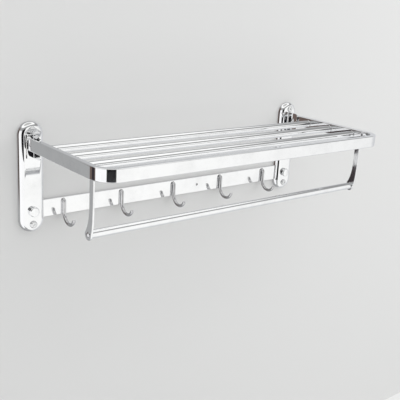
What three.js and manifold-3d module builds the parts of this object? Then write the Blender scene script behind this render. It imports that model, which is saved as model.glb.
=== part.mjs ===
// Folding towel shelf for a bathroom wall: two pressed wall plates joined by a hook rail, and a
// shelf of tubes in a bent band that swings up on two hinge pins, with a towel bar hung below it.
// Millimetres. +X is to the right as a user faces the wall, +Y into the wall and +Z up.
// The origin lies on the wall, midway between the plates and level with the rail's centre line.

import * as THREE from "three";
import { mergeVertices } from "three/addons/utils/BufferGeometryUtils.js";
import Module from "manifold-3d";

// ---- Driving dimensions ----------------------------------------------------------------------

const GAP = 0.3; // between two pieces that touch on the real shelf

const SHELF_WIDTH = 600; // outer face of one arm to the outer face of the other
const SHELF_DEPTH = 245; // wall to the front face of the band
const SHELF_HEIGHT = 114.8; // arm centre line above the rail centre line

const BAND_HEIGHT = 20.4;
const BAND_THICKNESS = 10;
const BAND_WALL = 1.2;
const BAND_CORNER_RADIUS = 34; // outer face

const SHELF_TUBE_COUNT = 3;
const SHELF_TUBE_DIAMETER = 12.7;
const SHELF_TUBE_WALL = 1;
const REAR_TUBE_FROM_WALL = 65.2;

const PLATE_WIDTH = 43;
const PLATE_DEPTH = 11.5;
const PLATE_WALL = 1.5;
const PLATE_EDGE_RADIUS = 9;
const PLATE_INSET = 10.5; // plate centre line inside the arm's outer face
const PLATE_ABOVE_SCREW = 12.5;
const PLATE_BELOW_RAIL = 36.7;

const BRACKET_SHEET = 2;
const BRACKET_ABOVE_ARM = 4;
const BRACKET_BELOW_ARM = 14.5;
const EAR_NOSE = 12; // hinge pin centre to the ear's front edge
const EAR_CORNER_RADIUS = 7;

const PIN_DIAMETER = 5;
const PIN_HEAD_DIAMETER = 8;
const PIN_HEAD_HEIGHT = 1.6;
const WASHER_DIAMETER = 10;
const WASHER_THICKNESS = 0.8;
const ARM_PLUG_LENGTH = 24;

const RAIL_HEIGHT = 29.6;
const RAIL_THICKNESS = 2;
const RAIL_FROM_WALL = 2;
const RAIL_PAST_STUD = 9;
const RAIL_SCREW_HOLE = 4.5;

const HOOK_COUNT = 5;
const HOOK_WIRE = 6;
const HOOK_BEND = 17.6; // radius of the wire's centre line
const HOOK_SWEEP = 167; // degrees round that bend
const HOOK_BELOW_RAIL_TOP = 4.8; // rail's top edge to the wire's centre line
const HOOK_BEND_DROP = 11; // bend centre below the rail's centre line
const HOOK_FROM_PLATE = 37.2; // plate's inner edge to the nearest hook

const STUD_DIAMETER = 5;
const STUD_HEAD_DIAMETER = 11;
const STUD_HEAD_HEIGHT = 1.2;
const STUD_IN_NUT = 4.4;
const BUSH_WALL = 2.2;
const CAP_NUT_DIAMETER = 17;
const CAP_NUT_HEIGHT = 6.6;
const CAP_NUT_EDGE = 2.4; // rounding of its front edge
const CAP_NUT_CROWN = 0.5; // rise of its nearly flat face

const SCREW_DIAMETER = 4.2;
const SCREW_HEAD_DIAMETER = 12.4;
const SCREW_HEAD_CROWN = 0.3; // rise of its nearly flat face
const UPPER_HEAD = { height: 1.9, edge: 1.5 }; // low, because the folded arm passes over it
const LOWER_HEAD = { height: 3.2, edge: 2.6 };
const SCREW_RECESS = { length: 5.4, width: 1.3, depth: 1.1 };
const SCREW_ABOVE_BRACKET = 0.5; // bracket's top edge to the screw head
const LOWER_SCREW_DROP = 22.6; // below the rail's centre line

const BAR_DIAMETER = 13;
const BAR_WALL = 1;
const BAR_BELOW_ARM = 99; // bar centre line below the arm centre line
const BAR_PLUG_LENGTH = 14;
const BAR_SCREW_LENGTH = 11;
const BAR_SCREW_DIAMETER = 4;
const BAR_SCREW_HEAD_DIAMETER = 8.5;
const BAR_SCREW_HEAD_HEIGHT = 2.2;

const HANGER_THICKNESS = 3;
const HANGER_WIDTH = 10.3;
const HANGER_BOSS_DIAMETER = 18;
const HANGER_TOP_BELOW_BAND = 3.5;
const HANGER_FROM_TUBE = 8.6; // front tube's surface to the hanger's rear edge
const HANGER_BOSS_SETBACK = 8.2; // hanger strip's centre line to the bar's centre line
const HANGER_FLARE_START = 45; // above the bar, where the strip starts to widen
const HANGER_FRONT_PULL = 14.4; // above the bar, control point of the front edge's curve
const HANGER_REAR_PULL = 18; // the same for the rear edge
const HANGER_BOSS_ARC_END = 369; // degrees round the boss, from the front of the shelf

// How finely curves are divided.
const TUBE_SEGMENTS = 24;
const SMALL_SEGMENTS = 16;
const OUTLINE_STEPS = 8;
const COARSE_OUTLINE_STEPS = 6;
const PLATE_EDGE_STEPS = 5;
const HOOK_STEPS = 32;
const HOOK_SECTION_STEPS = 5;
const DOME_STEPS = 4;
const CAP_EDGE_STEPS = 5;

const OVERCUT = 1; // how far a cutter runs past what it cuts
const MERGE_DISTANCE = 1e-4;

// ---- Places worked out from them -------------------------------------------------------------

const PLATE_X = SHELF_WIDTH / 2 - PLATE_INSET;
const PLATE_INNER_X = PLATE_X - PLATE_WIDTH / 2;
const ARM_X = SHELF_WIDTH / 2 - BAND_THICKNESS / 2;
const ARM_INNER_X = SHELF_WIDTH / 2 - BAND_THICKNESS;
const ARM_TOP = SHELF_HEIGHT + BAND_HEIGHT / 2;
const ARM_BOTTOM = SHELF_HEIGHT - BAND_HEIGHT / 2;

// Distances out from the wall.
const BRACKET_BACK = PLATE_DEPTH + GAP;
const BRACKET_FRONT = BRACKET_BACK + BRACKET_SHEET;
const ARM_END = BRACKET_FRONT + GAP;
const PIN_OUT = ARM_END + BAND_HEIGHT / 2;
const EAR_END = PIN_OUT + EAR_NOSE;
const RAIL_FACE = RAIL_FROM_WALL + RAIL_THICKNESS;
const SHELF_INNER_FRONT = SHELF_DEPTH - BAND_THICKNESS;

const BRACKET_TOP = ARM_TOP + BRACKET_ABOVE_ARM;
const BRACKET_BOTTOM = ARM_BOTTOM - BRACKET_BELOW_ARM;
const UPPER_SCREW_Z = BRACKET_TOP + SCREW_ABOVE_BRACKET + SCREW_HEAD_DIAMETER / 2;
const PLATE_TOP = UPPER_SCREW_Z + PLATE_ABOVE_SCREW;
const PLATE_BOTTOM = -PLATE_BELOW_RAIL;

const EAR_GAP = WASHER_THICKNESS + 2 * GAP; // between the arm and the ear
const EAR_INNER = BAND_THICKNESS / 2 + EAR_GAP; // arm centre to an ear's inner face
const EAR_OUTER = EAR_INNER + BRACKET_SHEET;

const TUBE_PITCH = (SHELF_INNER_FRONT - REAR_TUBE_FROM_WALL) / SHELF_TUBE_COUNT;
const FRONT_TUBE_OUT = SHELF_INNER_FRONT - TUBE_PITCH;
const HANGER_OUTER_X = ARM_INNER_X - GAP;
const HANGER_INNER_X = HANGER_OUTER_X - HANGER_THICKNESS;
const HANGER_OUT = FRONT_TUBE_OUT + SHELF_TUBE_DIAMETER / 2 + HANGER_FROM_TUBE + HANGER_WIDTH / 2;
const BAR_OUT = HANGER_OUT - HANGER_BOSS_SETBACK;
const BAR_Z = SHELF_HEIGHT - BAR_BELOW_ARM;
const BAR_HALF = HANGER_INNER_X - GAP;

const HOOK_PITCH = (2 * (PLATE_INNER_X - HOOK_FROM_PLATE)) / (HOOK_COUNT - 1);
const HOOK_SHOULDER = GAP + HOOK_WIRE / 2; // radius of the wire's turn into the rail
const HOOK_WIRE_OUT = RAIL_FACE + HOOK_SHOULDER;
const SIDES = { left: -1, right: 1 };

// ---- Solids ----------------------------------------------------------------------------------

const wasm = await Module();
wasm.setup();

// A closed three.js geometry as a solid that can be joined and cut.
function solid(geometry) {
  const bare = geometry.index ? geometry.toNonIndexed() : geometry.clone();
  bare.deleteAttribute("normal");
  bare.deleteAttribute("uv");
  const merged = mergeVertices(bare, MERGE_DISTANCE);
  return new wasm.Manifold(
    new wasm.Mesh({
      numProp: 3,
      vertProperties: merged.attributes.position.array,
      triVerts: new Uint32Array(merged.index.array),
    }),
  );
}

function surface(body) {
  const mesh = body.getMesh();
  const geometry = new THREE.BufferGeometry();
  const positions = new THREE.BufferAttribute(new Float32Array(mesh.vertProperties), 3);
  geometry.setAttribute("position", positions);
  geometry.setIndex(new THREE.BufferAttribute(new Uint32Array(mesh.triVerts), 1));
  const faceted = geometry.toNonIndexed();
  faceted.computeVertexNormals();
  return faceted;
}

// A block between two corners, given as [x, y, z] in any order.
function block(a, b) {
  const size = a.map((value, i) => Math.abs(b[i] - value));
  const centre = a.map((value, i) => (b[i] + value) / 2);
  return solid(new THREE.BoxGeometry(...size).translate(...centre));
}

// Outline drawn in X and Z, extruded out from the wall between two distances.
function outFromWall(outline, from, to, options = {}) {
  const turned = new THREE.Matrix4().makeBasis(
    new THREE.Vector3(1, 0, 0),
    new THREE.Vector3(0, 0, 1),
    new THREE.Vector3(0, -1, 0),
  );
  const plain = { depth: to - from, bevelEnabled: false, curveSegments: OUTLINE_STEPS };
  const geometry = new THREE.ExtrudeGeometry(outline, { ...plain, ...options });
  return solid(geometry.applyMatrix4(turned).translate(0, -from, 0));
}

// Outline drawn in Y and Z, extruded across the shelf between two places in X.
function acrossShelf(outline, x0, x1) {
  const turned = new THREE.Matrix4().makeBasis(
    new THREE.Vector3(0, 1, 0),
    new THREE.Vector3(0, 0, 1),
    new THREE.Vector3(1, 0, 0),
  );
  const geometry = new THREE.ExtrudeGeometry(outline, {
    depth: Math.abs(x1 - x0),
    bevelEnabled: false,
    curveSegments: COARSE_OUTLINE_STEPS,
  });
  return solid(geometry.applyMatrix4(turned).translate(Math.min(x0, x1), 0, 0));
}

// Profile of [radius, distance] points turned about an axis that points out from the wall.
function turnedOut(profile, x, z, segments = SMALL_SEGMENTS) {
  const points = profile.map(([radius, out]) => new THREE.Vector2(radius, out));
  const geometry = new THREE.LatheGeometry(points, segments);
  return solid(geometry.rotateX(Math.PI).translate(x, 0, z));
}

// The same about an axis along X, with distances measured from x towards +X when side is 1.
function turnedAcross(profile, x, y, z, side = 1, segments = SMALL_SEGMENTS) {
  const points = profile.map(([radius, along]) => new THREE.Vector2(radius, along));
  const geometry = new THREE.LatheGeometry(points, segments);
  return solid(geometry.rotateZ((-side * Math.PI) / 2).translate(x, y, z));
}

function rodProfile(radius, from, to) {
  return [[0, from], [radius, from], [radius, to], [0, to]];
}

function pipeProfile(inner, outer, from, to) {
  return [[inner, from], [outer, from], [outer, to], [inner, to], [inner, from]];
}

// Points of a shallow dome of the given radius and height whose base is at base.
function domeProfile(radius, height, base) {
  const sphere = (radius * radius + height * height) / (2 * height);
  const open = Math.asin(Math.min(1, radius / sphere));
  const points = [];
  for (let i = 0; i <= DOME_STEPS; i++) {
    const angle = open * (1 - i / DOME_STEPS);
    const out = base + height - sphere * (1 - Math.cos(angle));
    points.push([i === DOME_STEPS ? 0 : sphere * Math.sin(angle), out]);
  }
  return points;
}

// Profile of a nearly flat cap with a straight side and a rounded front edge.
function capProfile(radius, height, edge, crown, base) {
  const points = [[radius, base]];
  for (let i = 0; i <= CAP_EDGE_STEPS; i++) {
    const angle = (Math.PI / 2) * (i / CAP_EDGE_STEPS);
    const side = radius - edge * (1 - Math.cos(angle));
    points.push([side, base + height - crown - edge * (1 - Math.sin(angle))]);
  }
  points.push([0, base + height]);
  return points;
}

function stadium(x, halfWidth, bottom, top) {
  const outline = new THREE.Shape();
  outline.absarc(x, bottom + halfWidth, halfWidth, Math.PI, 2 * Math.PI);
  outline.absarc(x, top - halfWidth, halfWidth, 0, Math.PI);
  outline.closePath();
  return outline;
}

// ---- Wall side -------------------------------------------------------------------------------

// A pressed shell with a rounded front edge, open to the wall.
function wallPlate(side) {
  const x = side * PLATE_X;
  const pressed = (inset, edge, depth) => {
    const half = PLATE_WIDTH / 2 - inset - edge;
    const outline = stadium(x, half, PLATE_BOTTOM + inset + edge, PLATE_TOP - inset - edge);
    return outFromWall(outline, -OVERCUT, depth - edge, {
      bevelEnabled: true,
      bevelSize: edge,
      bevelThickness: edge,
      bevelSegments: PLATE_EDGE_STEPS,
    });
  };
  const outer = pressed(0, PLATE_EDGE_RADIUS, PLATE_DEPTH);
  const hollow = pressed(PLATE_WALL, PLATE_EDGE_RADIUS - PLATE_WALL, PLATE_DEPTH - PLATE_WALL);
  const behind = block(
    [x - PLATE_WIDTH, 0, PLATE_BOTTOM - OVERCUT],
    [x + PLATE_WIDTH, PLATE_DEPTH, PLATE_TOP + OVERCUT],
  );
  const notch = block(
    [side * (PLATE_INNER_X - OVERCUT), OVERCUT, -RAIL_HEIGHT / 2 - GAP],
    [side * (PLATE_INNER_X + PLATE_WALL + OVERCUT), -RAIL_FACE - GAP, RAIL_HEIGHT / 2 + GAP],
  );
  const hole = (z, diameter) => {
    const drill = rodProfile(diameter / 2 + GAP, OVERCUT, PLATE_DEPTH + OVERCUT);
    return turnedOut(drill, x, z);
  };
  return outer
    .subtract(hollow)
    .subtract(behind)
    .subtract(notch)
    .subtract(hole(UPPER_SCREW_Z, SCREW_DIAMETER))
    .subtract(hole(-LOWER_SCREW_DROP, SCREW_DIAMETER))
    .subtract(hole(0, STUD_DIAMETER));
}

// Bent angle on the plate: a web behind the arm and an ear inside it that holds the hinge pin.
function hingeBracket(side) {
  const x = side * ARM_X;
  const web = block(
    [side * (SHELF_WIDTH / 2), -BRACKET_BACK, BRACKET_BOTTOM],
    [x - side * EAR_OUTER, -BRACKET_FRONT, BRACKET_TOP],
  );
  const r = EAR_CORNER_RADIUS;
  const ear = new THREE.Shape();
  ear.moveTo(-BRACKET_BACK, BRACKET_BOTTOM);
  ear.lineTo(-BRACKET_BACK, BRACKET_TOP);
  ear.absarc(-EAR_END + r, BRACKET_TOP - r, r, Math.PI / 2, Math.PI);
  ear.absarc(-EAR_END + r, BRACKET_BOTTOM + r, r, Math.PI, 1.5 * Math.PI);
  ear.closePath();
  const pinHole = turnedAcross(
    rodProfile(PIN_DIAMETER / 2 + GAP, -EAR_OUTER - OVERCUT, EAR_OUTER + OVERCUT),
    x, -PIN_OUT, SHELF_HEIGHT,
  );
  const [a, b] = [x - side * EAR_INNER, x - side * EAR_OUTER];
  return web.add(acrossShelf(ear, Math.min(a, b), Math.max(a, b))).subtract(pinHole);
}

// Pin with a domed head inside the ear; its other end stops just below the arm's outer face.
function hingePin(side) {
  const head = EAR_OUTER + GAP;
  const dome = domeProfile(PIN_HEAD_DIAMETER / 2, PIN_HEAD_HEIGHT, head);
  const shank = PIN_DIAMETER / 2;
  const end = -(BAND_THICKNESS / 2 - GAP);
  const profile = [[0, end], [shank, end], [shank, head], ...dome];
  return turnedAcross(profile, side * ARM_X, -PIN_OUT, SHELF_HEIGHT, -side);
}

// Washer between the arm and the ear.
function hingeWasher(side) {
  const from = BAND_THICKNESS / 2 + GAP;
  const profile = pipeProfile(
    PIN_DIAMETER / 2 + GAP,
    WASHER_DIAMETER / 2,
    from,
    from + WASHER_THICKNESS,
  );
  return turnedAcross(profile, side * ARM_X, -PIN_OUT, SHELF_HEIGHT, -side);
}

// Flat strip between the plates, with a hole for each hook, one for each stud and one wall screw.
function hookRail() {
  const half = PLATE_X + RAIL_PAST_STUD;
  const high = RAIL_HEIGHT / 2;
  const outline = new THREE.Shape();
  outline.moveTo(-half, -high);
  outline.lineTo(half, -high);
  outline.lineTo(half, high);
  outline.lineTo(-half, high);
  outline.closePath();
  const addHole = (x, z, radius) => {
    const hole = new THREE.Path();
    hole.absarc(x, z, radius, 0, 2 * Math.PI, true);
    outline.holes.push(hole);
  };
  for (const side of Object.values(SIDES)) {
    addHole(side * PLATE_X, 0, STUD_DIAMETER / 2 + GAP);
  }
  for (const x of hookPlaces()) {
    addHole(x, high - HOOK_BELOW_RAIL_TOP, HOOK_WIRE / 2 + GAP);
  }
  addHole(HOOK_PITCH / 2, 0, RAIL_SCREW_HOLE / 2);
  return outFromWall(outline, RAIL_FROM_WALL, RAIL_FACE);
}

function hookPlaces() {
  const first = (-HOOK_PITCH * (HOOK_COUNT - 1)) / 2;
  return Array.from({ length: HOOK_COUNT }, (_, i) => first + i * HOOK_PITCH);
}

// One bent wire: through the rail, down its face and forward round an open bend to a free tip.
class HookLine extends THREE.Curve {
  constructor() {
    super();
    this.top = RAIL_HEIGHT / 2 - HOOK_BELOW_RAIL_TOP;
    this.tail = HOOK_WIRE_OUT - HOOK_SHOULDER - RAIL_FROM_WALL;
    this.shoulder = (HOOK_SHOULDER * Math.PI) / 2;
    this.straight = this.top - HOOK_SHOULDER + HOOK_BEND_DROP;
    this.bend = (HOOK_BEND * HOOK_SWEEP * Math.PI) / 180;
    this.total = this.tail + this.shoulder + this.straight + this.bend;
  }

  getPoint(t, target = new THREE.Vector3()) {
    let s = t * this.total;
    if (s <= this.tail) {
      return target.set(0, -RAIL_FROM_WALL - s, this.top);
    }
    s -= this.tail;
    if (s <= this.shoulder) {
      const a = s / HOOK_SHOULDER;
      const out = HOOK_WIRE_OUT - HOOK_SHOULDER * (1 - Math.sin(a));
      return target.set(0, -out, this.top - HOOK_SHOULDER * (1 - Math.cos(a)));
    }
    s -= this.shoulder;
    if (s <= this.straight) {
      return target.set(0, -HOOK_WIRE_OUT, this.top - HOOK_SHOULDER - s);
    }
    const a = (s - this.straight) / HOOK_BEND;
    const out = HOOK_WIRE_OUT + HOOK_BEND * (1 - Math.cos(a));
    return target.set(0, -out, -HOOK_BEND_DROP - HOOK_BEND * Math.sin(a));
  }
}

function hook(x) {
  const section = new THREE.Shape();
  section.absarc(0, 0, HOOK_WIRE / 2, 0, 2 * Math.PI);
  const geometry = new THREE.ExtrudeGeometry(section, {
    steps: HOOK_STEPS,
    curveSegments: HOOK_SECTION_STEPS,
    bevelEnabled: false,
    extrudePath: new HookLine(),
  });
  return solid(geometry.translate(x, 0, 0));
}

// Threaded stud whose flat head lies behind the rail.
function railStud(side) {
  const headFront = RAIL_FROM_WALL - GAP;
  const shank = STUD_DIAMETER / 2;
  const profile = [
    [0, headFront - STUD_HEAD_HEIGHT],
    [STUD_HEAD_DIAMETER / 2, headFront - STUD_HEAD_HEIGHT],
    [STUD_HEAD_DIAMETER / 2, headFront],
    [shank, headFront],
    [shank, PLATE_DEPTH + STUD_IN_NUT],
    [0, PLATE_DEPTH + STUD_IN_NUT],
  ];
  return turnedOut(profile, side * PLATE_X, 0);
}

// Spacer that holds the rail away from the inside of the plate's face.
function railBush(side) {
  const bore = STUD_DIAMETER / 2 + GAP;
  const inside = PLATE_DEPTH - PLATE_WALL - GAP;
  return turnedOut(pipeProfile(bore, bore + BUSH_WALL, RAIL_FACE + GAP, inside), side * PLATE_X, 0);
}

// Nut on the stud: a round cap with a nearly flat face and a blind bore.
function capNut(side) {
  const base = PLATE_DEPTH + GAP;
  const radius = CAP_NUT_DIAMETER / 2;
  const bore = STUD_DIAMETER / 2 + GAP;
  const boreEnd = PLATE_DEPTH + STUD_IN_NUT + GAP;
  const cap = capProfile(radius, CAP_NUT_HEIGHT, CAP_NUT_EDGE, CAP_NUT_CROWN, base);
  const profile = [[0, boreEnd], [bore, boreEnd], [bore, base], ...cap];
  return turnedOut(profile, side * PLATE_X, 0, TUBE_SEGMENTS);
}

// Round screw head with a cross recess, and a shank that stops at the wall's face.
function wallScrew(side, z, head) {
  const base = PLATE_DEPTH + GAP;
  const shank = SCREW_DIAMETER / 2;
  const radius = SCREW_HEAD_DIAMETER / 2;
  const cap = capProfile(radius, head.height, head.edge, SCREW_HEAD_CROWN, base);
  const body = turnedOut([[0, GAP], [shank, GAP], [shank, base], ...cap], side * PLATE_X, z);
  const { length, width, depth } = SCREW_RECESS;
  const top = base + head.height;
  const x = side * PLATE_X;
  const slot = (dx, dz) => block([x - dx, -top - OVERCUT, z - dz], [x + dx, -(top - depth), z + dz]);
  return body.subtract(slot(length / 2, width / 2)).subtract(slot(width / 2, length / 2));
}

// Spacer round a wall screw, from the wall to the inside of the plate's face.
function screwBush(side, z) {
  const bore = SCREW_DIAMETER / 2 + GAP;
  const inside = PLATE_DEPTH - PLATE_WALL - GAP;
  return turnedOut(pipeProfile(bore, bore + BUSH_WALL, 0, inside), side * PLATE_X, z);
}

// ---- Shelf side ------------------------------------------------------------------------------

// Plan outline of the U-shaped band, drawn in X and Y; inset thins it evenly for the hollow.
function bandOutline(inset, rear) {
  const outer = SHELF_WIDTH / 2 - inset;
  const inner = ARM_INNER_X + inset;
  const front = SHELF_DEPTH - inset;
  const back = SHELF_INNER_FRONT + inset;
  const big = BAND_CORNER_RADIUS - inset;
  const small = BAND_CORNER_RADIUS - BAND_THICKNESS + inset;
  const outline = new THREE.Shape();
  outline.moveTo(-outer, -rear);
  outline.absarc(-outer + big, -front + big, big, Math.PI, 1.5 * Math.PI);
  outline.absarc(outer - big, -front + big, big, 1.5 * Math.PI, 2 * Math.PI);
  outline.lineTo(outer, -rear);
  outline.lineTo(inner, -rear);
  outline.absarc(inner - small, -back + small, small, 0, 1.5 * Math.PI, true);
  outline.absarc(-inner + small, -back + small, small, 1.5 * Math.PI, Math.PI, true);
  outline.lineTo(-inner, -rear);
  outline.closePath();
  return outline;
}

function upright(outline, bottom, top) {
  const geometry = new THREE.ExtrudeGeometry(outline, {
    depth: top - bottom,
    bevelEnabled: false,
    curveSegments: COARSE_OUTLINE_STEPS,
  });
  return solid(geometry.translate(0, 0, bottom));
}

// What is cut from the upper rear corner of an arm so that it can turn about its pin.
function armCornerCut(side) {
  const x = side * ARM_X;
  const far = BAND_THICKNESS;
  const corner = block(
    [x - far, -PIN_OUT, SHELF_HEIGHT],
    [x + far, -ARM_END + OVERCUT, ARM_TOP + OVERCUT],
  );
  const kept = turnedAcross(
    rodProfile(BAND_HEIGHT / 2, -far - OVERCUT, far + OVERCUT),
    x, -PIN_OUT, SHELF_HEIGHT, 1, 2 * TUBE_SEGMENTS,
  );
  return corner.subtract(kept);
}

function armPinHole(side) {
  const reach = BAND_THICKNESS;
  return turnedAcross(
    rodProfile(PIN_DIAMETER / 2 + GAP, -reach, reach),
    side * ARM_X, -PIN_OUT, SHELF_HEIGHT,
  );
}

// Rectangular tube bent round the front of the shelf; its rear ends are the two arms.
function shelfFrame() {
  const outer = upright(bandOutline(0, ARM_END), ARM_BOTTOM, ARM_TOP);
  const hollow = upright(
    bandOutline(BAND_WALL, ARM_END - OVERCUT),
    ARM_BOTTOM + BAND_WALL,
    ARM_TOP - BAND_WALL,
  );
  let frame = outer.subtract(hollow);
  for (const side of Object.values(SIDES)) {
    frame = frame.subtract(armCornerCut(side)).subtract(armPinHole(side));
  }
  return frame;
}

// Block that fills the rear end of an arm and carries the pin.
function armPlug(side) {
  const inset = BAND_WALL + GAP;
  const r = BAND_HEIGHT / 2 - inset;
  const outline = new THREE.Shape();
  outline.moveTo(-ARM_END - ARM_PLUG_LENGTH, SHELF_HEIGHT - r);
  outline.lineTo(-ARM_END, SHELF_HEIGHT - r);
  outline.lineTo(-ARM_END, SHELF_HEIGHT);
  outline.lineTo(-PIN_OUT + r, SHELF_HEIGHT);
  outline.absarc(-PIN_OUT, SHELF_HEIGHT, r, 0, Math.PI / 2);
  outline.lineTo(-ARM_END - ARM_PLUG_LENGTH, SHELF_HEIGHT + r);
  outline.closePath();
  const half = BAND_THICKNESS / 2 - inset;
  const x = side * ARM_X;
  return acrossShelf(outline, x - half, x + half).subtract(armPinHole(side));
}

// Tube across the shelf, welded between the arms; index 0 is nearest the front.
function shelfTube(index) {
  const outer = SHELF_TUBE_DIAMETER / 2;
  const half = ARM_INNER_X - GAP;
  const profile = pipeProfile(outer - SHELF_TUBE_WALL, outer, -half, half);
  const out = FRONT_TUBE_OUT - index * TUBE_PITCH;
  return turnedAcross(profile, 0, -out, SHELF_HEIGHT, 1, TUBE_SEGMENTS);
}

// Side hanger: a strip on the arm's inner face that widens towards the bar's round boss.
function hanger(side) {
  const half = HANGER_WIDTH / 2;
  const boss = HANGER_BOSS_DIAMETER / 2;
  const top = ARM_TOP - HANGER_TOP_BELOW_BAND;
  const front = -HANGER_OUT - half;
  const rear = -HANGER_OUT + half;
  const flare = BAR_Z + HANGER_FLARE_START;
  const arcEnd = THREE.MathUtils.degToRad(HANGER_BOSS_ARC_END);
  const outline = new THREE.Shape();
  outline.moveTo(front, top);
  outline.lineTo(front, flare);
  outline.quadraticCurveTo(front, BAR_Z + HANGER_FRONT_PULL, -BAR_OUT - boss, BAR_Z);
  outline.absarc(-BAR_OUT, BAR_Z, boss, Math.PI, arcEnd);
  outline.quadraticCurveTo(rear, BAR_Z + HANGER_REAR_PULL, rear, flare);
  outline.lineTo(rear, top);
  outline.closePath();
  const body = acrossShelf(outline, side * HANGER_INNER_X, side * HANGER_OUTER_X);
  const hole = turnedAcross(
    rodProfile(BAR_SCREW_DIAMETER / 2 + GAP, HANGER_INNER_X - OVERCUT, HANGER_OUTER_X + OVERCUT),
    0, -BAR_OUT, BAR_Z, side,
  );
  return body.subtract(hole);
}

function towelBar() {
  const outer = BAR_DIAMETER / 2;
  const profile = pipeProfile(outer - BAR_WALL, outer, -BAR_HALF, BAR_HALF);
  return turnedAcross(profile, 0, -BAR_OUT, BAR_Z, 1, TUBE_SEGMENTS);
}

// Threaded plug inside each end of the bar.
function barPlug(side) {
  const outer = BAR_DIAMETER / 2 - BAR_WALL - GAP;
  const bore = BAR_SCREW_DIAMETER / 2 + GAP;
  const profile = pipeProfile(bore, outer, BAR_HALF - BAR_PLUG_LENGTH, BAR_HALF);
  return turnedAcross(profile, 0, -BAR_OUT, BAR_Z, side);
}

// Screw through the hanger's boss into the bar plug.
function barScrew(side) {
  const base = HANGER_OUTER_X + GAP;
  const shank = BAR_SCREW_DIAMETER / 2;
  const dome = domeProfile(BAR_SCREW_HEAD_DIAMETER / 2, BAR_SCREW_HEAD_HEIGHT, base);
  const tip = base - BAR_SCREW_LENGTH;
  const profile = [[0, tip], [shank, tip], [shank, base], ...dome];
  return turnedAcross(profile, 0, -BAR_OUT, BAR_Z, side);
}

// ---- Assembly --------------------------------------------------------------------------------

const FINISHES = {
  mirror_steel: { color: 0xd9dcde, roughness: 0.08, metalness: 1 },
  satin_steel: { color: 0xc4c7c9, roughness: 0.3, metalness: 1 },
  chrome: { color: 0xe3e5e6, roughness: 0.06, metalness: 1 },
  nylon: { color: 0xe6e4dc, roughness: 0.6, metalness: 0 },
};

const rack = new THREE.Group();

function place(name, body, finish) {
  const mesh = new THREE.Mesh(surface(body), new THREE.MeshStandardMaterial(FINISHES[finish]));
  mesh.name = name;
  rack.add(mesh);
}

place("hook_rail", hookRail(), "mirror_steel");
hookPlaces().forEach((x, i) => place(`hook_${i + 1}`, hook(x), "mirror_steel"));
place("shelf_frame", shelfFrame(), "mirror_steel");
for (let i = 0; i < SHELF_TUBE_COUNT; i++) {
  place(`shelf_tube_${i + 1}`, shelfTube(i), "mirror_steel");
}
place("towel_bar", towelBar(), "mirror_steel");

for (const [name, side] of Object.entries(SIDES)) {
  place(`${name}_wall_plate`, wallPlate(side), "mirror_steel");
  place(`${name}_hinge_bracket`, hingeBracket(side), "mirror_steel");
  place(`${name}_hinge_pin`, hingePin(side), "satin_steel");
  place(`${name}_hinge_washer`, hingeWasher(side), "nylon");
  place(`${name}_rail_stud`, railStud(side), "satin_steel");
  place(`${name}_rail_bush`, railBush(side), "satin_steel");
  place(`${name}_cap_nut`, capNut(side), "chrome");
  place(`${name}_upper_screw`, wallScrew(side, UPPER_SCREW_Z, UPPER_HEAD), "satin_steel");
  place(`${name}_lower_screw`, wallScrew(side, -LOWER_SCREW_DROP, LOWER_HEAD), "satin_steel");
  place(`${name}_upper_bush`, screwBush(side, UPPER_SCREW_Z), "satin_steel");
  place(`${name}_lower_bush`, screwBush(side, -LOWER_SCREW_DROP), "satin_steel");
  place(`${name}_arm_plug`, armPlug(side), "nylon");
  place(`${name}_hanger`, hanger(side), "mirror_steel");
  place(`${name}_bar_plug`, barPlug(side), "satin_steel");
  place(`${name}_bar_screw`, barScrew(side), "satin_steel");
}

export default rack;
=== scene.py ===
"""Folding towel shelf in polished steel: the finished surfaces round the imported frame.

Everything is in metres in the shelf's own frame: +X to the right as a user faces the wall, +Y into
the wall, +Z up, with the origin on the wall, level with the centre line of the hook rail.
"""

import math

import bmesh
import bpy
from mathutils import Matrix, Vector


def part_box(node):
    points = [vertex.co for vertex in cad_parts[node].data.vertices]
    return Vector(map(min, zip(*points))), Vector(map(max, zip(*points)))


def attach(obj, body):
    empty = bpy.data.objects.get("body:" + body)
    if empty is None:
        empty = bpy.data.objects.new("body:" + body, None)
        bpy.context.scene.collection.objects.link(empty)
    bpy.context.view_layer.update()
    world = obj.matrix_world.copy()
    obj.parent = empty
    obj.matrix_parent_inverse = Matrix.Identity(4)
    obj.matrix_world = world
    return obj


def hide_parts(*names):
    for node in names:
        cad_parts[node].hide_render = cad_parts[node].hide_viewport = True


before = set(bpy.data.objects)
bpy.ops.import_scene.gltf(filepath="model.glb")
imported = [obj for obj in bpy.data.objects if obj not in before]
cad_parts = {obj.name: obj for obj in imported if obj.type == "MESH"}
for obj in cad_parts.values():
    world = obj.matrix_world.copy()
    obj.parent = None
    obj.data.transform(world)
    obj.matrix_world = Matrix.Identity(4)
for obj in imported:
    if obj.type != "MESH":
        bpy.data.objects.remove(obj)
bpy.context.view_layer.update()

MM = 0.001
WALL_SIDE = "wall_side"
SHELF = "shelf"
SIDES = {"left": -1, "right": 1}

# ---- Sizes that the frame doesn't give --------------------------------------------------------

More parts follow.
